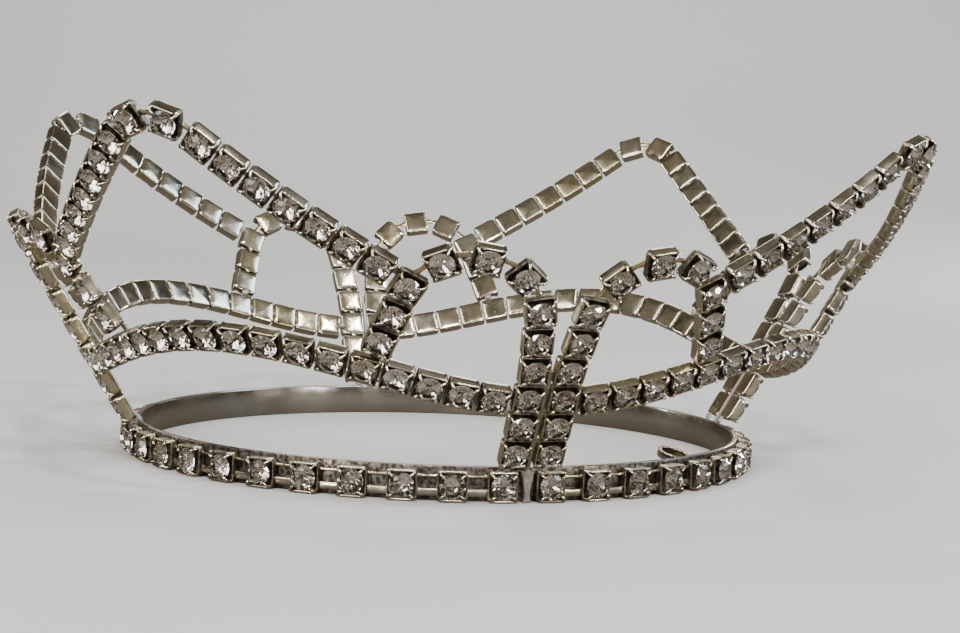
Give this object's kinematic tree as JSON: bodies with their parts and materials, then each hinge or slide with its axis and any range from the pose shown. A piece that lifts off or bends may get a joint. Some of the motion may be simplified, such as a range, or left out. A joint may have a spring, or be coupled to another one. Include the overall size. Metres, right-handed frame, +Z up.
{
  "type": "bridal tiara",
  "caption": "Round flared bridal crown of rhinestone cup chain on a flat metal band, with looped motifs, a wavy mid ring and pointed peaks, worn on the head.",
  "frame": {"origin": "centre of the base band in the plane that its bottom edge stands on", "axes": "+Z up along the band's axis; the front motif faces -Y; +X to the right of someone looking at the front"},
  "size_m": [0.1438, 0.1438, 0.056],
  "materials": {
    "polished_band": "silver plated, polished strip",
    "cup_metal": "silver plated, bright stamped cups with satin backs",
    "link_metal": "silver plated, worn to the warm base metal",
    "solder": "grey satin solder",
    "rhinestone": "clear cut glass with a foil back"
  },
  "bodies": {
    "root": {"base_band": "polished_band", "base_chain_cups": "cup_metal", "base_chain_links": "link_metal", "base_chain_stones": "rhinestone", "front_motif_spine": "solder", "right_motif_spine": "solder", "back_motif_spine": "solder", "left_motif_spine": "solder", "front_motif_left_loop_cups": "cup_metal", "front_motif_right_loop_cups": "cup_metal", "right_motif_left_loop_cups": "cup_metal", "right_motif_right_loop_cups": "cup_metal", "back_motif_left_loop_cups": "cup_metal", "back_motif_right_loop_cups": "cup_metal", "left_motif_left_loop_cups": "cup_metal", "left_motif_right_loop_cups": "cup_metal", "front_motif_left_loop_stones": "rhinestone", "front_motif_right_loop_stones": "rhinestone", "right_motif_left_loop_stones": "rhinestone", "right_motif_right_loop_stones": "rhinestone", "back_motif_left_loop_stones": "rhinestone", "back_motif_right_loop_stones": "rhinestone", "left_motif_left_loop_stones": "rhinestone", "left_motif_right_loop_stones": "rhinestone", "motif_loop_links": "link_metal", "mid_ring_front_right_cups": "cup_metal", "mid_ring_back_right_cups": "cup_metal", "mid_ring_back_left_cups": "cup_metal", "mid_ring_front_left_cups": "cup_metal", "mid_ring_front_right_stones": "rhinestone", "mid_ring_back_right_stones": "rhinestone", "mid_ring_back_left_stones": "rhinestone", "mid_ring_front_left_stones": "rhinestone", "mid_ring_links": "link_metal", "peak_front_right_cups": "cup_metal", "peak_back_right_cups": "cup_metal", "peak_back_left_cups": "cup_metal", "peak_front_left_cups": "cup_metal", "peak_front_right_stones": "rhinestone", "peak_back_right_stones": "rhinestone", "peak_back_left_stones": "rhinestone", "peak_front_left_stones": "rhinestone", "peak_links": "link_metal", "solder_beads": "solder", "hairpin_ring_back": "polished_band", "hairpin_ring_front": "polished_band"}
  },
  "joints": []
}
